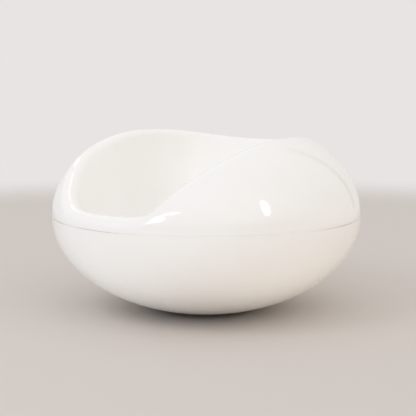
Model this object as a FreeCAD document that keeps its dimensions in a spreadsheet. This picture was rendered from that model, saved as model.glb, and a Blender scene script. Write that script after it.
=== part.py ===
import FreeCAD, Part
import Sketcher
import math
import os

# Rocking lounge chair: a hollow rounded body of glass-fibre laminate in two mouldings.
# The lower moulding is a plain bowl, the upper one carries crown, rim and seat in one skin.
# Everything is drawn about the joint between the two and then lifted by the joint's height,
# so the chair rests on the floor at zero with its front towards minus Y.

doc = FreeCAD.newDocument("rocking_lounge_chair")
sheet = doc.addObject("Spreadsheet::Sheet", "Dimensions")

dimensions = [
    ("body_radius", "460", "half the chair's width at the joint"),
    ("crown_height", "304.7", "height of the full crown above the joint"),
    ("bowl_depth", "293.9", "depth of the full lower bowl below the joint"),
    ("flat_depth", "4", "how much of the bowl's end is taken off for the resting flat"),
    ("seam_height", "=bowl_depth - flat_depth", "joint above the floor"),
    ("wall", "4.5", "laminate thickness of both mouldings"),
    ("seam_gap", "1.2", "open joint between the two edges"),
    ("edge_round", "0.4", "softened outer edges along the joint"),
    ("flat_round", "120", "soft run from the bowl into its resting flat"),
    ("oval_half_length", "393", "opening in plan, front to back"),
    ("oval_half_width", "284", "opening in plan, side to side"),
    ("oval_forward", "56", "opening's middle ahead of the chair's axis"),
    ("oval_power", "2.31", "fullness of the opening's corners, 2 is an ellipse"),
    ("lip_blend", "5", "softness of the run from the front lip into the arms"),
    ("lip_radius", "35", "rolled edge at the front lip"),
    ("rim_radius", "22", "rolled edge at arms and back"),
    ("rim_fade", "3.5", "how fast the lip's roll tightens towards the arms"),
    ("seat_drop", "90", "lowest part of the seat below the joint"),
    ("seat_flat", "60", "radius of the level middle of the seat"),
    ("bowl_turn", "25", "how far below the joint the walls aim before they turn into the seat"),
    ("bowl_spread", "0.6", "how far the level of the seat reaches out towards the walls"),
    ("lip_slope", "42", "fall of the seat behind the front lip, degrees"),
    ("arm_slope", "84", "fall of the inner wall below the arms, degrees"),
    ("back_slope", "66", "fall of the backrest below its rim, degrees"),
    ("play", "0.3", "clear space between parts that lie together"),
    ("hoop_outer", "450.5", "outside of the joint hoop"),
    ("hoop_wall", "4", "laminate strip of the joint hoop"),
    ("hoop_inner", "=hoop_outer - hoop_wall", "inside of the joint hoop"),
    ("hoop_top", "14", "joint hoop's upper edge above the joint"),
    ("hoop_foot", "-30", "joint hoop's lower edge below the joint"),
    ("paste_inner", "=hoop_outer + play", "paste against the hoop"),
    ("paste_outer", "=body_radius - wall - play", "paste against the mouldings at the joint"),
    ("paste_edge", "2", "paste kept back from the joint"),
    ("paste_edge_low", "=-paste_edge", "the same below the joint"),
    ("paste_top", "=hoop_top - 1", "upper paste's end"),
    ("paste_top_outer", "=body_radius - lip_radius + sqrt((lip_radius - wall)^2 - paste_top^2) - play",
     "upper paste's end under the front lip's roll"),
    ("paste_foot", "=hoop_foot + 2", "lower paste's end"),
    ("paste_foot_outer",
     "=(body_radius - wall) * sqrt(1 - (paste_foot / (bowl_depth - wall))^2) - play",
     "lower paste's end against the bowl"),
    ("filler_outer", "=body_radius - 0.4", "seam filler set back from the outer skin"),
    ("filler_inner", "=filler_outer - 3.4", "seam filler's inside"),
    ("filler_top", "=seam_gap / 2 - 0.1", "seam filler's upper face"),
    ("filler_foot", "=-filler_top", "seam filler's lower face"),
    ("filler_round", "0.3", "seam filler's rounded face"),
    ("patch_wall", "3.5", "extra laminate under the seat and over the resting flat"),
    ("patch_start", "1.52", "where the seat's patch begins, 2 being the middle of the seat"),
    ("floor_patch_radius", "68", "patch over the resting flat"),
    ("axis_line", "0", "the chair's own axis"),
    ("joint_low", "=-seam_gap / 2", "bowl's upper edge below the joint"),
    ("flat_level", "=-seam_height", "resting flat below the joint"),
    ("floor_level", "=flat_level + wall", "inside of the bowl over its resting flat"),
    ("floor_patch_foot", "=-seam_height + wall + play", "floor patch's underside"),
    ("floor_patch_top", "=floor_patch_foot + patch_wall", "floor patch's upper face"),
]
for row, (alias, value, note) in enumerate(dimensions, start=1):
    sheet.set("A%d" % row, alias)
    sheet.set("C%d" % row, note)
    sheet.setAlias("B%d" % row, alias)
for row, (alias, value, note) in enumerate(dimensions, start=1):
    sheet.set("B%d" % row, value)
doc.recompute()


def size(alias):
    return float(sheet.get(alias))


# Upper moulding
# In every vertical plane through the axis the skin runs up the crown, rolls over the rim
# and falls along a smooth curve to the level middle of the seat.

A = size("body_radius")
C = size("crown_height")


def oval_reach(turn):
    """Distance from the axis to the opening's oval along one bearing from the front."""
    near, far = 0.0, 2.0 * A
    for _ in range(60):
        mid = (near + far) / 2
        ahead = abs(mid * math.cos(turn) - size("oval_forward")) / size("oval_half_length")
        aside = abs(mid * math.sin(turn)) / size("oval_half_width")
        if ahead ** size("oval_power") + aside ** size("oval_power") > 1.0:
            far = mid
        else:
            near = mid
    return (near + far) / 2


def roll_radius(turn):
    """Radius of the rolled edge: widest at the front lip."""
    share = ((1 + math.cos(turn)) / 2) ** size("rim_fade")
    return size("rim_radius") + (size("lip_radius") - size("rim_radius")) * share


def wall_slope(turn):
    """Fall of the inner wall just below the rim."""
    front = ((1 + math.cos(turn)) / 2) ** 4
    back = ((1 - math.cos(turn)) / 2) ** 4
    fall = size("arm_slope")
    fall -= (size("arm_slope") - size("lip_slope")) * front
    fall -= (size("arm_slope") - size("back_slope")) * back
    return math.radians(fall)


def roll_centre(lift, radius):
    """Middle of a roll that touches the crown from inside at one place of its ellipse."""
    out, up = math.cos(lift) / A, math.sin(lift) / C
    length = math.hypot(out, up)
    out, up = out / length, up / length
    return A * math.cos(lift) - radius * out, C * math.sin(lift) - radius * up, math.atan2(up, out)


class Section:
    """The skin in one vertical plane, as reach from the axis and height above the joint."""

    def __init__(self, turn):
        self.turn = turn
        self.roll = roll_radius(turn)
        lip = A - self.roll
        soft = size("lip_blend")
        crest = lip - soft * math.log1p(math.exp((lip - oval_reach(turn)) / soft))
        low, high = 0.0, math.pi / 2
        for _ in range(60):
            lift = (low + high) / 2
            if roll_centre(lift, self.roll)[0] > crest:
                low = lift
            else:
                high = lift
        self.lift = lift
        self.reach, self.height, self.start = roll_centre(lift, self.roll)
        fall = wall_slope(turn)
        self.stop = math.pi / 2 + fall
        top = self.on_roll(1.0)
        foot = (size("seat_flat"), -size("seat_drop"))
        drop = top[1] + size("bowl_turn")
        lead = (top[0] - drop / math.tan(fall), -size("bowl_turn"))
        trail = (foot[0] + size("bowl_spread") * (top[0] - foot[0]), foot[1])
        self.fall = (top, lead, trail, foot)
        # running length of crown and roll together, for even spacing
        self.first = math.asin((size("seam_gap") / 2 + size("edge_round")) / C)
        steps = 160
        crown = [self.on_crown(i / steps) for i in range(steps + 1)]
        rolled = [self.on_roll(i / steps) for i in range(1, steps + 1)]
        self.edge = crown + rolled
        self.run = [0.0]
        for here, there in zip(self.edge, self.edge[1:]):
            self.run.append(self.run[-1] + math.dist(here, there))

    def on_crown(self, share):
        angle = self.first + (self.lift - self.first) * share
        return A * math.cos(angle), C * math.sin(angle)

    def on_roll(self, share):
        angle = self.start + (self.stop - self.start) * share
        return self.reach + self.roll * math.cos(angle), self.height + self.roll * math.sin(angle)

    def at(self, station):
        """Station 0 is the joint, 1 the end of the roll, 2 the level middle of the seat."""
        if station <= 1.0:
            goal = station * self.run[-1]
            i = 1
            while i < len(self.run) - 1 and self.run[i] < goal:
                i += 1
            part = (goal - self.run[i - 1]) / (self.run[i] - self.run[i - 1])
            a, b = self.edge[i - 1], self.edge[i]
            return a[0] + (b[0] - a[0]) * part, a[1] + (b[1] - a[1]) * part
        w = station - 1.0
        weights = ((1 - w) ** 3, 3 * w * (1 - w) ** 2, 3 * w * w * (1 - w), w ** 3)
        return tuple(sum(k * p[i] for k, p in zip(weights, self.fall)) for i in (0, 1))

    def point(self, station):
        reach, height = self.at(station)
        return FreeCAD.Vector(reach * math.sin(self.turn), -reach * math.cos(self.turn), height)


BEARINGS = 96
TURN_STEP = math.radians(0.2)
turns = [2 * math.pi * i / BEARINGS for i in range(BEARINGS)]
sections = [(Section(t - TURN_STEP), Section(t), Section(t + TURN_STEP)) for t in turns]


def skin_point(trio, station, inward):
    """Place on the skin, moved into the hollow by a thickness."""
    before, here, after = trio
    if station == 0.0:
        normal = FreeCAD.Vector(-math.sin(here.turn), math.cos(here.turn), 0)
    elif station == 2.0:
        normal = FreeCAD.Vector(0, 0, -1)
    else:
        along = here.point(min(station + 0.004, 2.0)) - here.point(station - 0.004)
        around = after.point(station) - before.point(station)
        normal = along.cross(around)
        normal.normalize()
    return here.point(station) + normal * inward


def skin(stations, inward):
    """One smooth closed face through every section at the given stations."""
    columns = [[skin_point(trio, s, inward) for s in stations] for trio in sections]
    spans = []
    for i in range(len(stations) - 1):
        gaps = [(c[i + 1] - c[i]).Length for c in columns]
        spans.append(sum(gaps) / len(gaps))
    along = [sum(spans[:i]) / sum(spans) for i in range(len(stations))]
    around = [i / BEARINGS for i in range(BEARINGS + 1)]
    profiles = []
    for column, trio in zip(columns, sections):
        turn = trio[1].turn
        first = FreeCAD.Vector(0, 0, 1)
        if stations[0] > 0.0:
            first = (column[1] - column[0]).normalize()
        last = FreeCAD.Vector(-math.sin(turn), math.cos(turn), 0)
        first = first * ((column[1] - column[0]).Length / along[1])
        last = last * ((column[-1] - column[-2]).Length / (along[-1] - along[-2]))
        profile = Part.BSplineCurve()
        profile.interpolate(
            Points=column, Parameters=along, InitialTangent=first, FinalTangent=last, Scale=False)
        profiles.append(profile)
    net = []
    for poles in zip(*[profile.getPoles() for profile in profiles]):
        loop = Part.BSplineCurve()
        loop.interpolate(Points=list(poles), Parameters=around, PeriodicFlag=True)
        net.append(loop.getPoles())
    surface = Part.BSplineSurface()
    surface.buildFromPolesMultsKnots(
        net, profiles[0].getMultiplicities(), loop.getMultiplicities(),
        profiles[0].getKnots(), loop.getKnots(), False, True, 3, 3)
    return surface.toShape()


def end_ring(face, highest):
    """The closed edge at the top or bottom end of a skin."""
    rings = [e for e in face.Edges if e.isClosed() and not e.isSeam(face)]
    rings.sort(key=lambda e: e.CenterOfMass.z)
    return rings[-1] if highest else rings[0]


def level_ring(reach, height):
    """Level ring with the same run as the skins' own ends."""
    around = [i / BEARINGS for i in range(BEARINGS + 1)]
    points = [FreeCAD.Vector(reach * math.sin(t), -reach * math.cos(t), height) for t in turns]
    ring = Part.BSplineCurve()
    ring.interpolate(Points=points, Parameters=around, PeriodicFlag=True)
    return ring.toShape()


def laminate(stations, outside, inside, bevel=0.0):
    """Solid between two depths of the skin, from one station to the middle of the seat.

    The outer edge where it begins can be bevelled.
    """
    outer = skin(stations, outside)
    inner = skin(stations, inside)
    faces = [outer, inner]
    start = end_ring(outer, True)
    if bevel:
        edge_point = start.Vertexes[0].Point
        reach = math.hypot(edge_point.x, edge_point.y)
        step = level_ring(reach - bevel, edge_point.z - bevel)
        faces.append(Part.makeRuledSurface(start, step))
        start = step
    faces.append(Part.makeRuledSurface(start, end_ring(inner, True)))
    for face in (outer, inner):
        faces.append(Part.Face(Part.Wire([end_ring(face, False)])))
    shell = Part.makeShell(faces)
    shell.sewShape()
    return Part.makeSolid(shell)


edge_stations = [1 - (1 - i / 16) ** 1.7 for i in range(17)]
seat_stations = [1 + (i / 13) ** 1.5 for i in range(1, 14)]


def moulded(label, shape):
    """Document object for one free-form part, lifted to the joint's height."""
    part = doc.addObject("Part::Feature", label)
    part.Shape = shape
    part.Label = label
    part.setExpression(".Placement.Base.z", "Dimensions.seam_height")
    return part


upper_shell = moulded(
    "upper_shell",
    laminate(edge_stations + seat_stations, 0.0, size("wall"), size("edge_round")))

# Seat patch
# Extra laminate laid up under the seat, where the sitter's weight comes down.

patch_depth = size("wall") + size("play")
patch_stations = [s for s in seat_stations if s > size("patch_start")]
seat_patch = moulded("seat_patch", laminate(patch_stations, patch_depth, patch_depth + size("patch_wall")))


# Turned parts
# Each is one profile turned about the chair's axis, drawn on the upright plane.

def turned_body(label):
    """Body with an empty profile on its upright plane, lifted to the joint's height."""
    body = doc.addObject("PartDesign::Body", label)
    body.Label = label
    body.setExpression(".Placement.Base.z", "Dimensions.seam_height")
    upright = [f for f in body.Origin.OriginFeatures if f.Role == "XZ_Plane"][0]
    profile = body.newObject("Sketcher::SketchObject", label + "_profile")
    profile.AttachmentSupport = [(upright, "")]
    profile.MapMode = "FlatFace"
    return body, profile


def hold(profile, kind, geometry, corner, alias):
    """Tie one corner's reach or height to a cell of the sheet."""
    rule = Sketcher.Constraint(kind, -1, 1, geometry, corner, size(alias))
    number = profile.addConstraint(rule)
    profile.setExpression("Constraints[%d]" % number, "Dimensions." + alias)


def turn(body, profile):
    """Turn a finished profile once around the axis."""
    ring = body.newObject("PartDesign::Revolution", body.Label + "_turned")
    ring.Profile = profile
    ring.ReferenceAxis = (profile, ["V_Axis"])
    ring.Angle = 360
    profile.Visibility = False
    doc.recompute()
    return ring


def soften(body, base, radius, chosen):
    """Round the edges of a turned part that a test picks."""
    names = ["Edge%d" % n for n, e in enumerate(base.Shape.Edges, start=1) if chosen(e)]
    rounded = body.newObject("PartDesign::Fillet", body.Label + "_rounded")
    rounded.Base = (base, names)
    rounded.setExpression("Radius", "Dimensions." + radius)
    doc.recompute()
    return rounded


def turned_ring(label, corners):
    """Straight-sided ring from corners named by cells: reach, then height."""
    body, profile = turned_body(label)
    places = [FreeCAD.Vector(size(reach), size(height), 0) for reach, height in corners]
    for here, there in zip(places, places[1:] + places[:1]):
        profile.addGeometry(Part.LineSegment(here, there), False)
    for i, (reach, height) in enumerate(corners):
        profile.addConstraint(Sketcher.Constraint("Coincident", i - 1 if i else len(corners) - 1, 2, i, 1))
        hold(profile, "DistanceX", i, 1, reach)
        hold(profile, "DistanceY", i, 1, height)
    turn(body, profile)
    return body


def is_ring(edge, radius):
    return edge.isClosed() and abs(edge.BoundBox.XLength / 2 - radius) < 0.05


# Lower moulding: a bowl of two elliptical skins, closed by the resting flat.

lower_shell, bowl = turned_body("lower_shell")
bowl_angle = math.asin(size("seam_height") / size("bowl_depth"))
inner_angle = math.asin((size("seam_height") - size("wall")) / (size("bowl_depth") - size("wall")))
rings = [(size("body_radius"), size("bowl_depth"), bowl_angle)]
rings.append((size("body_radius") - size("wall"), size("bowl_depth") - size("wall"), inner_angle))
ends = []
for half_width, half_height, end in rings:
    ellipse = Part.Ellipse(FreeCAD.Vector(0, 0, 0), half_width, half_height)
    start = math.asin(size("seam_gap") / 2 / half_height)
    arc = Part.ArcOfEllipse(ellipse, 2 * math.pi - end, 2 * math.pi - start)
    bowl.addGeometry(arc, False)
    ends.append((arc.StartPoint, arc.EndPoint))
(flat_end, seam_outer), (floor_end, seam_inner) = ends
axis_low = FreeCAD.Vector(0, flat_end.y, 0)
axis_high = FreeCAD.Vector(0, floor_end.y, 0)
bowl.addGeometry(Part.LineSegment(flat_end, axis_low), False)
bowl.addGeometry(Part.LineSegment(axis_low, axis_high), False)
bowl.addGeometry(Part.LineSegment(axis_high, floor_end), False)
bowl.addGeometry(Part.LineSegment(seam_inner, seam_outer), False)
meetings = ((0, 1, 2, 1), (2, 2, 3, 1), (3, 2, 4, 1), (4, 2, 1, 1), (1, 2, 5, 1), (5, 2, 0, 2))
for a, a_end, b, b_end in meetings:
    bowl.addConstraint(Sketcher.Constraint("Coincident", a, a_end, b, b_end))
for level in (2, 4, 5):
    bowl.addConstraint(Sketcher.Constraint("Horizontal", level))
bowl.addConstraint(Sketcher.Constraint("PointOnObject", 3, 1, -2))
bowl.addConstraint(Sketcher.Constraint("PointOnObject", 3, 2, -2))
for number, trim in ((0, "0"), (1, "Dimensions.wall")):
    bowl.addConstraint(Sketcher.Constraint("Coincident", number, 3, -1, 1))
    width_line = bowl.GeometryCount
    bowl.exposeInternalGeometry(number)
    bowl.addConstraint(Sketcher.Constraint("Horizontal", width_line))
    for line, whole in ((width_line, "body_radius"), (width_line + 1, "bowl_depth")):
        span = bowl.Geometry[line].length()
        rule = bowl.addConstraint(Sketcher.Constraint("Distance", line, span))
        bowl.setExpression("Constraints[%d]" % rule, "2 * (Dimensions.%s - %s)" % (whole, trim))
hold(bowl, "DistanceY", 3, 1, "flat_level")
hold(bowl, "DistanceY", 3, 2, "floor_level")
hold(bowl, "DistanceY", 5, 1, "joint_low")
turned_bowl = turn(lower_shell, bowl)
flat_reach = flat_end.x
seam_reach = seam_outer.x
resting = soften(lower_shell, turned_bowl, "flat_round", lambda edge: is_ring(edge, flat_reach))
soften(lower_shell, resting, "edge_round", lambda edge: is_ring(edge, seam_reach))

# Floor patch: a disc of extra laminate inside, over the resting flat.

floor_patch = turned_ring("floor_patch", [
    ("axis_line", "floor_patch_foot"),
    ("floor_patch_radius", "floor_patch_foot"),
    ("floor_patch_radius", "floor_patch_top"),
    ("axis_line", "floor_patch_top"),
])

# Joint hoop: a flat strip bent into a ring, standing inside both mouldings across the joint.

joint_hoop = turned_ring("joint_hoop", [
    ("hoop_inner", "hoop_foot"),
    ("hoop_outer", "hoop_foot"),
    ("hoop_outer", "hoop_top"),
    ("hoop_inner", "hoop_top"),
])

# Bonding paste: two wedges that fill the space between the straight hoop and the curved skins.

lower_paste = turned_ring("lower_paste", [
    ("paste_inner", "paste_foot"),
    ("paste_foot_outer", "paste_foot"),
    ("paste_outer", "paste_edge_low"),
    ("paste_inner", "paste_edge_low"),
])
upper_paste = turned_ring("upper_paste", [
    ("paste_inner", "paste_edge"),
    ("paste_outer", "paste_edge"),
    ("paste_top_outer", "paste_top"),
    ("paste_inner", "paste_top"),
])

# Seam filler: the bead that shows as a thin line around the chair.

seam_filler = turned_ring("seam_filler", [
    ("filler_inner", "filler_foot"),
    ("filler_outer", "filler_foot"),
    ("filler_outer", "filler_top"),
    ("filler_inner", "filler_top"),
])
soften(seam_filler, seam_filler.Tip, "filler_round", lambda edge: is_ring(edge, size("filler_outer")))
doc.recompute()

# Hand over the finished parts

os.makedirs("parts", exist_ok=True)
for item in doc.Objects:
    if "Invalid" in item.State or "Error" in item.State:
        raise RuntimeError("%s could not be made" % item.Name)
finished = [upper_shell, lower_shell, joint_hoop, upper_paste, lower_paste, seam_filler]
finished += [seat_patch, floor_patch]
for item in finished:
    if item.Shape.isNull() or not item.Shape.isValid():
        raise RuntimeError("%s is not a sound solid" % item.Label)
    item.Shape.exportStep("parts/%s.step" % item.Label)
    print(item.Label, len(item.Shape.Faces), "faces", item.Shape.BoundBox)
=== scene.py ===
import bpy
import bmesh
import math
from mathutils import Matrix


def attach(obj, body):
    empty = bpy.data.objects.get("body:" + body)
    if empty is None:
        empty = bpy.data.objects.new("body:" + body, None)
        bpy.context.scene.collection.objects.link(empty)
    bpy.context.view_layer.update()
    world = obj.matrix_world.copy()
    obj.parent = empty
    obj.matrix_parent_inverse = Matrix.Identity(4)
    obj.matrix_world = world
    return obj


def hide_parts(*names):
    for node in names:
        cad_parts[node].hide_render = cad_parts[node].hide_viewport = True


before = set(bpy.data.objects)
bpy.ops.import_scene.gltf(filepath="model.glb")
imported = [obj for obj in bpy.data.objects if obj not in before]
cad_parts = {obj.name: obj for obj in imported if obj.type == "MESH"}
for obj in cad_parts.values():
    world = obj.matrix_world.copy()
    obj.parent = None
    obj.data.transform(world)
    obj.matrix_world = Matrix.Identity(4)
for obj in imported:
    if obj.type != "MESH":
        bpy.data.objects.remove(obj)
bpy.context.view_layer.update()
bpy.ops.object.select_all(action="DESELECT")

# Lower moulding
# A round bowl of glass-fibre laminate, laid up in a polished mould, so its skin is glossy gelcoat.
# Years of rocking leave it clouded, hairline-scratched and scuffed on the flat that meets the floor; that
# flat is also painted near-black, a painted shade that deepens the shadow under the body.
# A pattern is given as spots to the metre, fineness, and the values where it starts and where it is full.

JOINT_HEIGHT = 0.2899
GELCOAT_FRESH = (0.925, 0.907, 0.879, 1)
GELCOAT_AGED = (0.912, 0.889, 0.854, 1)
GELCOAT_IOR = 1.5
CLOUDS = (3.5, 3.0, 0.35, 0.65)
POLISH_SPOTS = (14.0, 4.0, 0.30, 0.75)
POLISH_RANGE = (0.045, 0.11)
HAIRS_ONE = (5.0, 2.0, 0.70, 0.74)
HAIRS_ONE_STRETCH = (1, 90, 6)
HAIRS_ONE_TURN = (0.4, 0.2, 0.6)
HAIRS_TWO = (5.0, 2.0, 0.71, 0.75)
HAIRS_TWO_STRETCH = (80, 1, 5)
HAIRS_TWO_TURN = (0.1, 0.5, -0.5)
HAIR_DULLING = 0.10
SWELLS_PER_METRE = 6.0
SWELL_DEPTH = 0.0011
PEEL_PER_METRE = 70.0
PEEL_DEPTH = 0.00003
SPECKS = (420.0, 1.0, 0.80, 0.84)
SPECK_STRENGTH = 0.35
JOINT_DIRT = (0.26, 0.17, 0.10, 1)
DIRT_PATCHES = (9.0, 2.0, 0.40, 0.70)
DIRT_STRENGTH = 0.30
DIRT_FROM_JOINT = (0.0006, 0.0016)
DIRT_FROM_AXIS_SQUARED = (0.195, 0.205)
WIPED_SIDE = (0.755, -0.656, 0)
WIPED_FROM_AXIS = (0.30, 0.42)
SCRATCHES = (900.0, 1.0, 0.30, 0.70)
SCRATCH_RANGE = (0.25, 1.75)
DULLED_HEIGHTS = (0.02, 0.17)
UNDERSIDE_DULLING = 0.40
SIDE_DULLING = 0.04
# Near-black of the resting flat: partly scuff dirt, partly painted shade under the body.
FLOOR_SCUFF_AND_SHADE = (0.14, 0.115, 0.09, 1)
SCUFF_AND_SHADE_SPOTS = (60.0, 4.0, 0.35, 0.60)
SCUFF_AND_SHADE_RANGE = (0.55, 1.0)
SCUFF_AND_SHADE_HEIGHTS = (0.0085, 0.0145)
SCUFF_DULLING = 0.4


def new_finish(name):
    """Empty material with its shader and the place on the piece, in metres."""
    finish = bpy.data.materials.new(name)
    finish.use_nodes = True
    tree = finish.node_tree
    shader = tree.nodes["Principled BSDF"]
    place = tree.nodes.new("ShaderNodeTexCoord").outputs["Object"]
    return finish, tree, shader, place


def grain(tree, place, scale, detail=1.0, stretch=None, turn=(0, 0, 0)):
    """Soft random values, so many spots to the metre, drawn out along one axis where asked."""
    noise = tree.nodes.new("ShaderNodeTexNoise")
    noise.inputs["Scale"].default_value = scale
    noise.inputs["Detail"].default_value = detail
    if stretch:
        mapping = tree.nodes.new("ShaderNodeMapping")
        mapping.inputs["Scale"].default_value = stretch
        mapping.inputs["Rotation"].default_value = turn
        tree.links.new(place, mapping.inputs["Vector"])
        place = mapping.outputs["Vector"]
    tree.links.new(place, noise.inputs["Vector"])
    return noise.outputs["Fac"]


def between(tree, value, low, high, to_low=0.0, to_high=1.0):
    """Stretch of a value from one range to another, held at both ends."""
    remap = tree.nodes.new("ShaderNodeMapRange")
    remap.interpolation_type = "SMOOTHSTEP"
    remap.inputs["From Min"].default_value = low
    remap.inputs["From Max"].default_value = high
    remap.inputs["To Min"].default_value = to_low
    remap.inputs["To Max"].default_value = to_high
    tree.links.new(value, remap.inputs["Value"])
    return remap.outputs["Result"]


def pattern(tree, place, kind, weakest=0.0, strongest=1.0, stretch=None, turn=(0, 0, 0)):
    """Random pattern of one kind, between its weakest and its strongest."""
    scale, detail, start, full = kind
    spots = grain(tree, place, scale, detail, stretch, turn)
    return between(tree, spots, start, full, weakest, strongest)


def combine(tree, kind, first, second=0.0):
    """Two values, or a value and a number, worked together."""
    node = tree.nodes.new("ShaderNodeMath")
    node.operation = kind
    for socket, value in zip(node.inputs, (first, second)):
        if isinstance(value, (int, float)):
            socket.default_value = value
        else:
            tree.links.new(value, socket)
    return node.outputs["Value"]


def facing(tree, place, axis):
    """How far a place or a direction lies along an axis."""
    along = tree.nodes.new("ShaderNodeVectorMath")
    along.operation = "DOT_PRODUCT"
    along.inputs[1].default_value = axis
    tree.links.new(place, along.inputs[0])
    return along.outputs["Value"]


def tint(tree, share, under, over):
    """Colour laid over another where a pattern says so."""
    mix = tree.nodes.new("ShaderNodeMix")
    mix.data_type = "RGBA"
    tree.links.new(share, mix.inputs["Factor"])
    for socket, colour in ((mix.inputs["A"], under), (mix.inputs["B"], over)):
        if isinstance(colour, tuple):
            socket.default_value = colour
        else:
            tree.links.new(colour, socket)
    return mix.outputs["Result"]


def relief(tree, height, depth, below=None):
    """Bumps of a real depth in metres."""
    bump = tree.nodes.new("ShaderNodeBump")
    bump.inputs["Strength"].default_value = 1.0
    bump.inputs["Distance"].default_value = depth
    tree.links.new(height, bump.inputs["Height"])
    if below:
        tree.links.new(below, bump.inputs["Normal"])
    return bump.outputs["Normal"]


def grime(tree, place):
    """Dirt that has settled along the joint, except on the side that is wiped most often."""
    return between(tree, facing(tree, place, WIPED_SIDE), *WIPED_FROM_AXIS, 1.0, 0.0)


def gelcoat(name):
    """Glossy warm white: faint clouding, hairlines, specks and dirt drawn into the joint's edge."""
    finish, tree, shader, place = new_finish(name)
    axes = tree.nodes.new("ShaderNodeSeparateXYZ")
    tree.links.new(place, axes.inputs["Vector"])
    colour = tint(tree, pattern(tree, place, CLOUDS), GELCOAT_FRESH, GELCOAT_AGED)

    from_joint = combine(tree, "SUBTRACT", axes.outputs["Z"], JOINT_HEIGHT)
    near_joint = between(tree, combine(tree, "ABSOLUTE", from_joint), *DIRT_FROM_JOINT, 1.0, 0.0)
    across = combine(tree, "POWER", axes.outputs["X"], 2.0)
    along = combine(tree, "POWER", axes.outputs["Y"], 2.0)
    outside = between(tree, combine(tree, "ADD", across, along), *DIRT_FROM_AXIS_SQUARED)
    dirt = combine(tree, "MULTIPLY", near_joint, outside)
    dirt = combine(tree, "MULTIPLY", dirt, pattern(tree, place, DIRT_PATCHES, 0.0, DIRT_STRENGTH))
    dirt = combine(tree, "MULTIPLY", dirt, grime(tree, place))
    colour = tint(tree, dirt, colour, JOINT_DIRT)
    colour = tint(tree, pattern(tree, place, SPECKS, 0.0, SPECK_STRENGTH), colour, JOINT_DIRT)

    hairs_one = pattern(tree, place, HAIRS_ONE, stretch=HAIRS_ONE_STRETCH, turn=HAIRS_ONE_TURN)
    hairs_two = pattern(tree, place, HAIRS_TWO, stretch=HAIRS_TWO_STRETCH, turn=HAIRS_TWO_TURN)
    hairs = combine(tree, "MULTIPLY", combine(tree, "MAXIMUM", hairs_one, hairs_two), HAIR_DULLING)
    dull = combine(tree, "ADD", pattern(tree, place, POLISH_SPOTS, *POLISH_RANGE), hairs)

    swell = relief(tree, grain(tree, place, SWELLS_PER_METRE), SWELL_DEPTH)
    peel = relief(tree, grain(tree, place, PEEL_PER_METRE), PEEL_DEPTH, swell)
    tree.links.new(peel, shader.inputs["Normal"])
    shader.inputs["IOR"].default_value = GELCOAT_IOR
    return finish, tree, shader, place, axes, colour, dull


def coat(name, finish):
    """Finish put on one of the CAD solids in place of its plain one."""
    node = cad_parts[name]
    node.data.materials.clear()
    node.data.materials.append(finish)


lower_finish, tree, shader, place, axes, colour, dull = gelcoat("gelcoat_lower")
# Painted shade: the flat that meets the floor is painted near-black in spots, partly scuffing and partly
# a stand-in for the shadow under the body.
scuff_and_shade = between(tree, axes.outputs["Z"], *SCUFF_AND_SHADE_HEIGHTS, 1.0, 0.0)
scuff_and_shade = combine(tree, "MULTIPLY", scuff_and_shade, pattern(tree, place, SCUFF_AND_SHADE_SPOTS, *SCUFF_AND_SHADE_RANGE))
scratched = between(tree, axes.outputs["Z"], *DULLED_HEIGHTS, UNDERSIDE_DULLING, SIDE_DULLING)
scratched = combine(tree, "MULTIPLY", scratched, pattern(tree, place, SCRATCHES, *SCRATCH_RANGE))
dull = combine(tree, "ADD", dull, scratched)
dull = combine(tree, "ADD", dull, combine(tree, "MULTIPLY", scuff_and_shade, SCUFF_DULLING))
tree.links.new(tint(tree, scuff_and_shade, colour, FLOOR_SCUFF_AND_SHADE), shader.inputs["Base Color"])
tree.links.new(dull, shader.inputs["Roughness"])
coat("lower_shell", lower_finish)

# Floor patch, joint hoop and seat patch
# Bare glass-fibre laminate inside the hollow body: honey-green resin with the strands showing.
# The hoop stands across the joint, and the patches stiffen the resting flat and the seat.

RESIN = (0.42, 0.36, 0.19, 1)
STRAND = (0.62, 0.57, 0.40, 1)
RESIN_ROUGHNESS = 0.35
STRAND_ROUGHNESS = 0.70
STRAND_DEPTH = 0.0003
STRANDS_ONE = (20.0, 3.0, 0.50, 0.62)
STRANDS_ONE_STRETCH = (1, 14, 14)
STRANDS_ONE_TURN = (0.3, 0.2, 0.9)
STRANDS_TWO = (20.0, 3.0, 0.52, 0.64)
STRANDS_TWO_STRETCH = (14, 1, 14)
STRANDS_TWO_TURN = (0.5, 0.1, -0.4)

laminate, tree, shader, place = new_finish("raw_laminate")
strands_one = pattern(tree, place, STRANDS_ONE, stretch=STRANDS_ONE_STRETCH, turn=STRANDS_ONE_TURN)
strands_two = pattern(tree, place, STRANDS_TWO, stretch=STRANDS_TWO_STRETCH, turn=STRANDS_TWO_TURN)
strands = combine(tree, "MAXIMUM", strands_one, strands_two)
dry = between(tree, strands, 0.0, 1.0, RESIN_ROUGHNESS, STRAND_ROUGHNESS)
tree.links.new(tint(tree, strands, RESIN, STRAND), shader.inputs["Base Color"])
tree.links.new(dry, shader.inputs["Roughness"])
tree.links.new(relief(tree, strands, STRAND_DEPTH), shader.inputs["Normal"])
for name in ("floor_patch", "joint_hoop", "seat_patch"):
    coat(name, laminate)

# Bonding paste
# Two wedges of grey-buff polyester paste squeezed between the hoop and the mouldings.
# It is cured rough, with pores and knife marks, and is out of sight.

PASTE = (0.33, 0.31, 0.25, 1)
PASTE_DRY = (0.43, 0.41, 0.34, 1)
PASTE_ROUGHNESS = 0.75
LUMPS_PER_METRE = 55.0
LUMP_FINENESS = 5.0
LUMP_DEPTH = 0.0006
DRY_LUMPS = (0.3, 0.7)

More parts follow.
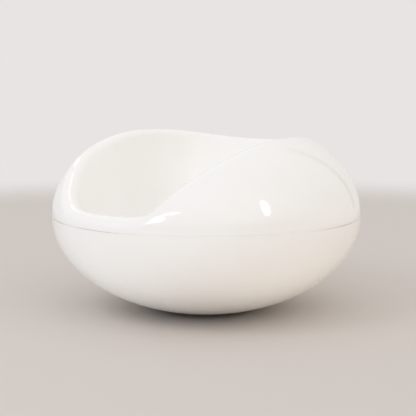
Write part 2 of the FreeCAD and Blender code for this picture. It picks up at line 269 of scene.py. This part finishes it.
paste, tree, shader, place = new_finish("bonding_paste")
lumps = grain(tree, place, LUMPS_PER_METRE, LUMP_FINENESS)
dry = between(tree, lumps, *DRY_LUMPS)
tree.links.new(tint(tree, dry, PASTE, PASTE_DRY), shader.inputs["Base Color"])
tree.links.new(relief(tree, lumps, LUMP_DEPTH), shader.inputs["Normal"])
shader.inputs["Roughness"].default_value = PASTE_ROUGHNESS
for name in ("lower_paste", "upper_paste"):
    coat(name, paste)

# Upper moulding
# Crown, rolled rim and scooped seat in one skin of gelcoat on glass-fibre laminate, made in one mould.
# It is drawn ring by ring up the crown, over the rim and down into the seat, then given its wall.
# Sitting has dulled the inside of the seat; rim and crown have kept their polish.

BODY_RADIUS = 0.460
CROWN_HEIGHT = 0.3047
LAMINATE_WALL = 0.0045
JOINT_HALF_GAP = 0.0006
JOINT_EDGE_ROUND = 0.0004
EDGE_ROUND_STEPS = 2
OVAL_HALF_LENGTH = 0.393
OVAL_HALF_WIDTH = 0.284
OVAL_FORWARD = 0.056
OVAL_POWER = 2.31
LIP_BLEND = 0.005
LIP_RADIUS = 0.035
RIM_RADIUS = 0.022
RIM_FADE = 3.5
LIP_SLOPE = 42
ARM_SLOPE = 84
BACK_SLOPE = 66
SLOPE_FADE = 4
SEAT_DROP = 0.090
SEAT_FLAT = 0.060
SEAT_CENTRE = 0.004
BOWL_TURN = 0.025
BOWL_SPREAD = 0.6
HALVINGS = 50
CROWN_STEPS = 100
ROLL_STEPS = 100
SEAT_STEPS = 120
SPACED_BY_LENGTH = 0.6
SPACED_BY_TURN = 0.4
SKIN_BEARINGS = 320
SKIN_RINGS = 116
HEIGHT_TOLERANCE = 0.0001
RADIUS_TOLERANCE = 0.0005
SHARP_CORNER = math.radians(30)
SAT_IN_EDGE = (0.84, 1.04)
SEAT_DULLING = 0.40


def oval_reach(turn):
    """Distance from the chair's axis to the opening's oval, along one bearing from the front."""
    near, far = 0.0, 2 * BODY_RADIUS
    for _ in range(HALVINGS):
        middle = (near + far) / 2
        ahead = abs(middle * math.cos(turn) - OVAL_FORWARD) / OVAL_HALF_LENGTH
        aside = abs(middle * math.sin(turn)) / OVAL_HALF_WIDTH
        if ahead ** OVAL_POWER + aside ** OVAL_POWER > 1:
            far = middle
        else:
            near = middle
    return near


def roll_place(lift, roll):
    """Middle of a roll that lies against the crown from inside, and the angle where they part."""
    out, up = math.cos(lift) / BODY_RADIUS, math.sin(lift) / CROWN_HEIGHT
    length = math.hypot(out, up)
    reach = BODY_RADIUS * math.cos(lift) - roll * out / length
    height = CROWN_HEIGHT * math.sin(lift) - roll * up / length
    return reach, height, math.atan2(up, out)


def crown_end(roll, crest):
    """Where the crown ends, as a lift of its ellipse, so that the roll's middle lies at the crest."""
    low, high = 0.0, math.pi / 2
    for _ in range(HALVINGS):
        lift = (low + high) / 2
        if roll_place(lift, roll)[0] > crest:
            low = lift
        else:
            high = lift
    return lift


def seat_fall(top, fall):
    """Smooth curve from the end of the roll to the level middle of the seat."""
    lead = (top[0] - (top[1] + BOWL_TURN) / math.tan(fall), -BOWL_TURN)
    trail = (SEAT_FLAT + BOWL_SPREAD * (top[0] - SEAT_FLAT), -SEAT_DROP)
    foot = (SEAT_FLAT, -SEAT_DROP)
    guides = (top, lead, trail, foot)
    curve = []
    for i in range(1, SEAT_STEPS + 1):
        w = i / SEAT_STEPS
        shares = ((1 - w) ** 3, 3 * w * (1 - w) ** 2, 3 * w * w * (1 - w), w ** 3)
        reach = sum(share * guide[0] for share, guide in zip(shares, guides))
        height = sum(share * guide[1] for share, guide in zip(shares, guides))
        curve.append((reach, height))
    return curve


def skin_line(turn):
    """The skin in one upright plane, from the joint to the middle of the seat, as reach and height."""
    frontness = (1 + math.cos(turn)) / 2
    roll = RIM_RADIUS + (LIP_RADIUS - RIM_RADIUS) * frontness ** RIM_FADE
    lip = BODY_RADIUS - roll
    crest = lip - LIP_BLEND * math.log1p(math.exp((lip - oval_reach(turn)) / LIP_BLEND))
    last = crown_end(roll, crest)
    reach, height, start = roll_place(last, roll)
    fall = ARM_SLOPE
    fall -= (ARM_SLOPE - LIP_SLOPE) * frontness ** SLOPE_FADE
    fall -= (ARM_SLOPE - BACK_SLOPE) * (1 - frontness) ** SLOPE_FADE
    fall = math.radians(fall)
    line = []
    first = math.asin(JOINT_HALF_GAP / CROWN_HEIGHT)
    for i in range(CROWN_STEPS):
        angle = first + (last - first) * i / CROWN_STEPS
        line.append((BODY_RADIUS * math.cos(angle), CROWN_HEIGHT * math.sin(angle)))
    for i in range(ROLL_STEPS + 1):
        angle = start + (math.pi / 2 + fall - start) * i / ROLL_STEPS
        line.append((reach + roll * math.cos(angle), height + roll * math.sin(angle)))
    line += seat_fall(line[-1], fall)
    line.append((SEAT_CENTRE, -SEAT_DROP))
    return line


def respaced(line, count):
    """The same line in so many places, closest together where it turns."""
    steps = [math.dist(a, b) for a, b in zip(line, line[1:])]
    heads = [math.atan2(b[1] - a[1], b[0] - a[0]) for a, b in zip(line, line[1:])]
    turns = [0.0]
    for a, b in zip(heads, heads[1:]):
        turns.append(abs(math.remainder(b - a, 2 * math.pi)))
    whole_length, whole_turn = sum(steps), sum(turns)
    run = [0.0]
    for step, turning in zip(steps, turns):
        share = SPACED_BY_LENGTH * step / whole_length + SPACED_BY_TURN * turning / whole_turn
        run.append(run[-1] + share)
    places = []
    at = 1
    for i in range(count):
        goal = run[-1] * i / (count - 1)
        while at < len(run) - 1 and run[at] < goal:
            at += 1
        part = (goal - run[at - 1]) / (run[at] - run[at - 1])
        a, b = line[at - 1], line[at]
        places.append((a[0] + (b[0] - a[0]) * part, a[1] + (b[1] - a[1]) * part))
    return places


def round_joint_edges(piece, radius, width):
    """Outer edges that run along the joint, rounded."""
    bpy.ops.object.mode_set(mode="EDIT")
    bpy.ops.mesh.select_mode(type="EDGE")
    bpy.ops.mesh.select_all(action="DESELECT")
    mesh = bmesh.from_edit_mesh(piece.data)
    for edge in mesh.edges:
        heights = [corner.co.z for corner in edge.verts]
        level = max(heights) - min(heights) < HEIGHT_TOLERANCE
        low = max(heights) < JOINT_HEIGHT + JOINT_HALF_GAP + HEIGHT_TOLERANCE
        outer = min(corner.co.xy.length for corner in edge.verts) > radius - RADIUS_TOLERANCE
        edge.select = level and low and outer
    bpy.ops.mesh.bevel(offset=width, segments=EDGE_ROUND_STEPS)
    bpy.ops.object.mode_set(mode="OBJECT")


bearings = [2 * math.pi * i / SKIN_BEARINGS for i in range(SKIN_BEARINGS)]
skin_lines = [respaced(skin_line(turn), SKIN_RINGS) for turn in bearings]
bpy.ops.mesh.primitive_circle_add(vertices=SKIN_BEARINGS, radius=BODY_RADIUS, location=(0, 0, 0))
upper_moulding = bpy.context.object
upper_moulding.name = "upper_moulding"
bpy.ops.object.mode_set(mode="EDIT")
bpy.ops.mesh.select_all(action="SELECT")
for ring in range(SKIN_RINGS):
    if ring:
        bpy.ops.mesh.extrude_edges_move()
    skin = bmesh.from_edit_mesh(upper_moulding.data)
    for corner in [v for v in skin.verts if v.select]:
        turn = math.atan2(corner.co.x, -corner.co.y)
        nearest = round(turn * SKIN_BEARINGS / (2 * math.pi)) % SKIN_BEARINGS
        turn = bearings[nearest]
        reach, height = skin_lines[nearest][ring]
        corner.co = (reach * math.sin(turn), -reach * math.cos(turn), JOINT_HEIGHT + height)
    bmesh.update_edit_mesh(upper_moulding.data)
bpy.ops.mesh.extrude_edges_move()
bpy.ops.mesh.merge(type="CENTER")
bpy.ops.mesh.select_all(action="SELECT")
bpy.ops.mesh.normals_make_consistent(inside=False)
bpy.ops.object.mode_set(mode="OBJECT")
wall = upper_moulding.modifiers.new("wall", "SOLIDIFY")
wall.thickness = LAMINATE_WALL
wall.offset = -1
wall.use_even_offset = True
bpy.ops.object.modifier_apply(modifier="wall")
round_joint_edges(upper_moulding, BODY_RADIUS, JOINT_EDGE_ROUND)
bpy.ops.object.shade_smooth_by_angle(angle=SHARP_CORNER)

upper_finish, tree, shader, place, axes, colour, dull = gelcoat("gelcoat_upper")
ahead = combine(tree, "ADD", axes.outputs["Y"], OVAL_FORWARD)
ahead = combine(tree, "MULTIPLY", ahead, 1 / OVAL_HALF_LENGTH)
ahead = combine(tree, "POWER", combine(tree, "ABSOLUTE", ahead), OVAL_POWER)
aside = combine(tree, "MULTIPLY", axes.outputs["X"], 1 / OVAL_HALF_WIDTH)
aside = combine(tree, "POWER", combine(tree, "ABSOLUTE", aside), OVAL_POWER)
sat_in = between(tree, combine(tree, "ADD", ahead, aside), *SAT_IN_EDGE, 1.0, 0.0)
worn = combine(tree, "MULTIPLY", sat_in, pattern(tree, place, SCRATCHES, *SCRATCH_RANGE))
worn = combine(tree, "MULTIPLY", worn, SEAT_DULLING)
tree.links.new(colour, shader.inputs["Base Color"])
tree.links.new(combine(tree, "ADD", dull, worn), shader.inputs["Roughness"])
upper_moulding.data.materials.append(upper_finish)
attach(upper_moulding, "root")
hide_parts("upper_shell")

# Seam filler
# A bead of polyester filler pressed into the joint, tight against both edges and wiped almost flush.
# It has taken up brown dirt on some stretches and stayed pale on others; the pale stretches are painted
# lighter than the gelcoat, a painted light that offsets the shade in the recessed groove.

BEAD_SET_BACK = 0.0004
BEAD_DEPTH = 0.0034
BEAD_PLAY = 0.00004
BEAD_ROUND = 0.0001
# Pale filler, painted lighter than the gelcoat as painted light against the groove's shade.
FILLER_CLEAN_WITH_PAINTED_LIGHT = (0.95, 0.93, 0.90, 1)
FILLER_STAINED = (0.50, 0.36, 0.25, 1)
FILLER_ROUGHNESS = 0.45
STAINS = (4.0, 3.0, 0.35, 0.60)
STAIN_RANGE = (0.4, 1.0)
PORES_PER_METRE = 180.0
PORE_FINENESS = 2.0
PORE_DEPTH = 0.0002

bead_radius = BODY_RADIUS - BEAD_SET_BACK
bpy.ops.mesh.primitive_cylinder_add(
    vertices=SKIN_BEARINGS, radius=bead_radius, depth=2 * JOINT_HALF_GAP - BEAD_PLAY,
    end_fill_type="NOTHING", location=(0, 0, JOINT_HEIGHT))
filler_bead = bpy.context.object
filler_bead.name = "filler_bead"
bpy.ops.object.transform_apply(location=True)
depth = filler_bead.modifiers.new("depth", "SOLIDIFY")
depth.thickness = BEAD_DEPTH
depth.offset = -1
bpy.ops.object.modifier_apply(modifier="depth")
round_joint_edges(filler_bead, bead_radius, BEAD_ROUND)
bpy.ops.object.shade_smooth_by_angle(angle=SHARP_CORNER)

filler, tree, shader, place = new_finish("seam_filler")
stains = combine(tree, "MULTIPLY", pattern(tree, place, STAINS, *STAIN_RANGE), grime(tree, place))
pores = grain(tree, place, PORES_PER_METRE, PORE_FINENESS)
# Painted light: the clean stretches are lighter than the gelcoat to offset the shade in the groove.
tree.links.new(tint(tree, stains, FILLER_CLEAN_WITH_PAINTED_LIGHT, FILLER_STAINED), shader.inputs["Base Color"])
tree.links.new(relief(tree, pores, PORE_DEPTH), shader.inputs["Normal"])
shader.inputs["Roughness"].default_value = FILLER_ROUGHNESS
filler_bead.data.materials.append(filler)
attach(filler_bead, "root")
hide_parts("seam_filler")

# Floor
# A plain pale floor for the chair to stand on, matt and without a pattern.
# It fades into the backdrop all round, so no edge shows from any side.

FLOOR_COLOUR = (0.655, 0.604, 0.562, 1)
FLOOR_ROUGHNESS = 0.9
FLOOR_SPECULAR = 0.1
FLOOR_RADIUS = 12.0
FLOOR_SIDES = 96
BACKDROP = (0.80, 0.775, 0.765, 1)
FADE_START = 2.5
FADE_END = 3.7

bpy.ops.mesh.primitive_circle_add(
    vertices=FLOOR_SIDES, radius=FLOOR_RADIUS, fill_type="NGON", location=(0, 0, 0))
floor = bpy.context.object
floor.name = "floor"
floor_finish, tree, shader, place = new_finish("pale_floor")
shader.inputs["Base Color"].default_value = FLOOR_COLOUR
shader.inputs["Roughness"].default_value = FLOOR_ROUGHNESS
shader.inputs["Specular IOR Level"].default_value = FLOOR_SPECULAR
reach = tree.nodes.new("ShaderNodeVectorMath")
reach.operation = "LENGTH"
tree.links.new(place, reach.inputs[0])
away = between(tree, reach.outputs["Value"], FADE_START, FADE_END)
rays = tree.nodes.new("ShaderNodeLightPath")
seen = combine(tree, "MAXIMUM", rays.outputs["Is Camera Ray"], rays.outputs["Is Glossy Ray"])
glow = tree.nodes.new("ShaderNodeEmission")
glow.inputs["Color"].default_value = BACKDROP
fade = tree.nodes.new("ShaderNodeMixShader")
tree.links.new(combine(tree, "MULTIPLY", away, seen), fade.inputs["Fac"])
tree.links.new(shader.outputs["BSDF"], fade.inputs[1])
tree.links.new(glow.outputs["Emission"], fade.inputs[2])
tree.links.new(fade.outputs["Shader"], tree.nodes["Material Output"].inputs["Surface"])
floor.data.materials.append(floor_finish)

# Light
# A bright plain room: pale walls all round, brightest behind the camera, with one dark doorway.
# Oval windows and two small strips give the gloss its highlights. A high lamp fills the seat,
# and white boards on the floor light the body from below.

CAMERA_BEARING = math.radians(42)
FRONT_LEFT_LOW = (0.45, 0.50, 0.57, 1)
FRONT_RIGHT_LOW = (0.47, 0.44, 0.41, 1)
FRONT_LEFT_WALL = (1.12, 1.18, 1.30, 1)
FRONT_RIGHT_WALL = (1.32, 1.28, 1.24, 1)
LEFT_WALL = (0.66, 0.72, 0.83, 1)
RIGHT_WALL = (0.93, 0.875, 0.83, 1)
BACK_WALL = (0.83, 0.815, 0.805, 1)
CEILING = (0.85, 0.85, 0.84, 1)
DOORWAY = (0.45, 0.42, 0.38, 1)
LEFT_TO_RIGHT = (-0.6, 0.6)
FRONT_WALL_SPREAD = (0.0, 0.6)
FRONT_WALL_FOOT = (0.06, 0.34)
FRONT_WALL_TOP = (0.65, 0.92)
CEILING_EDGE = (0.15, 0.62)
BACK_WALL_SPREAD = (-0.2, 0.0)
BACK_WALL_TOP = (0.62, 0.70)
BACK_WALL_LEFT_EDGE = (0.0, 0.03)
DOORWAY_NEAR_EDGE = (-0.02, 0.0)
DOORWAY_FAR_EDGE = (0.04, 0.09)
LEFT_CORNER = CAMERA_BEARING + math.radians(39)
RIGHT_CORNER = CAMERA_BEARING - math.radians(37.5)
CORNER_LEAN = 0.13

room = bpy.data.worlds.new("room")
room.use_nodes = True
bpy.context.scene.world = room
tree = room.node_tree
light = tree.nodes["Background"]
direction = tree.nodes.new("ShaderNodeTexCoord").outputs["Generated"]
forward = facing(tree, direction, (math.sin(CAMERA_BEARING), -math.cos(CAMERA_BEARING), 0))
rightward = facing(tree, direction, (math.cos(CAMERA_BEARING), math.sin(CAMERA_BEARING), 0))
upward = facing(tree, direction, (0, 0, 1))
past_left = facing(tree, direction, (math.cos(LEFT_CORNER), math.sin(LEFT_CORNER), 0))
past_right = facing(tree, direction, (math.cos(RIGHT_CORNER), math.sin(RIGHT_CORNER), CORNER_LEAN))

to_right = between(tree, rightward, *LEFT_TO_RIGHT)
side_walls = tint(tree, to_right, LEFT_WALL, RIGHT_WALL)
lit = tint(tree, between(tree, upward, *CEILING_EDGE), side_walls, CEILING)
front_foot = tint(tree, to_right, FRONT_LEFT_LOW, FRONT_RIGHT_LOW)
front_wall = tint(tree, to_right, FRONT_LEFT_WALL, FRONT_RIGHT_WALL)
front_wall = tint(tree, between(tree, upward, *FRONT_WALL_FOOT), front_foot, front_wall)
front = between(tree, forward, *FRONT_WALL_SPREAD)
front = combine(tree, "MULTIPLY", front, between(tree, upward, *FRONT_WALL_TOP, 1.0, 0.0))
lit = tint(tree, front, lit, front_wall)
behind = between(tree, forward, *BACK_WALL_SPREAD, 1.0, 0.0)
behind = combine(tree, "MULTIPLY", behind, between(tree, upward, *BACK_WALL_TOP, 1.0, 0.0))
doorway = between(tree, past_right, *DOORWAY_NEAR_EDGE)
doorway = combine(tree, "MULTIPLY", doorway, between(tree, past_right, *DOORWAY_FAR_EDGE, 1.0, 0.0))
lit = tint(tree, combine(tree, "MULTIPLY", doorway, behind), lit, DOORWAY)
back = between(tree, past_left, *BACK_WALL_LEFT_EDGE)
back = combine(tree, "MULTIPLY", back, between(tree, past_right, *DOORWAY_NEAR_EDGE, 1.0, 0.0))
lit = tint(tree, combine(tree, "MULTIPLY", back, behind), lit, BACK_WALL)
tree.links.new(lit, light.inputs["Color"])
plain = tree.nodes.new("ShaderNodeBackground")
plain.inputs["Color"].default_value = BACKDROP
rays = tree.nodes.new("ShaderNodeLightPath")
choose = tree.nodes.new("ShaderNodeMixShader")
tree.links.new(rays.outputs["Is Camera Ray"], choose.inputs["Fac"])
tree.links.new(light.outputs["Background"], choose.inputs[1])
tree.links.new(plain.outputs["Background"], choose.inputs[2])
tree.links.new(choose.outputs["Shader"], tree.nodes["World Output"].inputs["Surface"])

WARM_WHITE = (1.0, 0.98, 0.96)
COOL_WHITE = (0.98, 0.98, 1.0)
WINDOW_DISTANCE = 4.0
LOW_STRIP_BEARING = CAMERA_BEARING + math.radians(-168)
LOW_STRIP_TILT = math.radians(39)
SEAT_LIGHT_BEARING = CAMERA_BEARING + math.radians(-48)
SEAT_LIGHT_DISTANCE = 2.97
SEAT_LIGHT_HEIGHT = 2.98
SEAT_LIGHT_TILT = math.radians(48)
BOARD_DISTANCE = 0.82
BOARD_HEIGHT = 0.004
BOARD_WIDTH = 1.9
BOARD_LENGTH = 0.9


def around(turn, distance, height):
    """Place at one bearing from the front and one distance from the chair's axis."""
    return (distance * math.sin(turn), -distance * math.cos(turn), height)


def soft_lamp(name, where, turn, wide, tall, power, colour):
    """Rectangular light that the camera doesn't see."""
    bpy.ops.object.light_add(type="AREA", location=where, rotation=turn)
    lamp = bpy.context.object
    lamp.name = name
    lamp.data.shape = "RECTANGLE"
    lamp.data.size = wide
    lamp.data.size_y = tall
    lamp.data.energy = power
    lamp.data.color = colour
    lamp.visible_camera = False
    return lamp


def window(name, bearing, lift, wide, tall, lean, power, colour):
    """Oval light aimed at the chair, only for highlights; bearing is to the right of the camera's own."""
    turn = CAMERA_BEARING + math.radians(bearing)
    lift = math.radians(lift)
    height = JOINT_HEIGHT + WINDOW_DISTANCE * math.sin(lift)
    where = around(turn, WINDOW_DISTANCE * math.cos(lift), height)
    lamp = soft_lamp(name, where, (math.pi / 2 - lift, 0, turn), wide, tall, power, colour)
    lamp.rotation_euler.rotate_axis("Z", math.radians(lean))
    lamp.data.shape = "ELLIPSE"
    lamp.visible_diffuse = False


def lip_strip(name, where, turn, lean, wide, tall, power, spread):
    """Small light close over the left lip, only for the line along it; a grid keeps it off the rest."""
    lamp = soft_lamp(name, where, turn, wide, tall, power, WARM_WHITE)
    lamp.rotation_euler.rotate_axis("Z", math.radians(lean))
    lamp.data.spread = math.radians(spread)
    lamp.visible_diffuse = False


def floor_board(name, bearing, power, colour):
    """White board lying on the floor, throwing light up under the body."""
    turn = CAMERA_BEARING + math.radians(bearing)
    where = around(turn, BOARD_DISTANCE, BOARD_HEIGHT)
    lamp = soft_lamp(name, where, (math.pi, 0, turn), BOARD_WIDTH, BOARD_LENGTH, power, colour)
    lamp.visible_glossy = False


window("tall_window", bearing=44.3, lift=26.8, wide=0.42, tall=1.45, lean=-7,
       power=8.5, colour=WARM_WHITE)
window("left_window", bearing=-36.5, lift=14, wide=1.10, tall=0.62, lean=20,
       power=17, colour=COOL_WHITE)
window("far_left_window", bearing=-25, lift=22.5, wide=0.95, tall=0.20, lean=25,
       power=3.0, colour=COOL_WHITE)
lip_strip("low_strip", where=(-0.468, -0.198, 0.727), turn=(LOW_STRIP_TILT, 0, LOW_STRIP_BEARING),
          lean=20, wide=0.06, tall=0.29, power=0.011, spread=42)
lip_strip("top_strip", where=(-0.175, -0.25, 1.04), turn=(0, 0, CAMERA_BEARING),
          lean=0, wide=0.07, tall=0.22, power=0.030, spread=56)
seat_light = soft_lamp(
    "seat_light", where=around(SEAT_LIGHT_BEARING, SEAT_LIGHT_DISTANCE, SEAT_LIGHT_HEIGHT),
    turn=(SEAT_LIGHT_TILT, 0, SEAT_LIGHT_BEARING), wide=1.6, tall=1.2,
    power=16, colour=(0.98, 0.99, 1.0))
seat_light.visible_glossy = False
floor_board("left_board", bearing=-50, power=2.0, colour=(0.88, 0.94, 1.0))
floor_board("right_board", bearing=42, power=1.4, colour=(1.0, 0.91, 0.80))

# Camera
# As the photograph was taken: a long lens from a little above the seat, off the chair's left front.
# It looks slightly down, and almost straight at the chair's axis.

CAMERA_PLACE = (2.342, -2.601, 0.781)
CAMERA_DIP = 7.744
CAMERA_SWING = -0.087
LENS = 101.8
SENSOR_WIDTH = 36.0
FARTHEST_SEEN = 100.0

bpy.ops.object.camera_add(location=CAMERA_PLACE)
camera = bpy.context.object
camera.data.lens = LENS
camera.data.sensor_width = SENSOR_WIDTH
camera.data.clip_end = FARTHEST_SEEN
camera.rotation_euler = (math.radians(90 - CAMERA_DIP), 0, CAMERA_BEARING + math.radians(CAMERA_SWING))
bpy.context.scene.camera = camera
bpy.context.scene.view_settings.view_transform = "Standard"
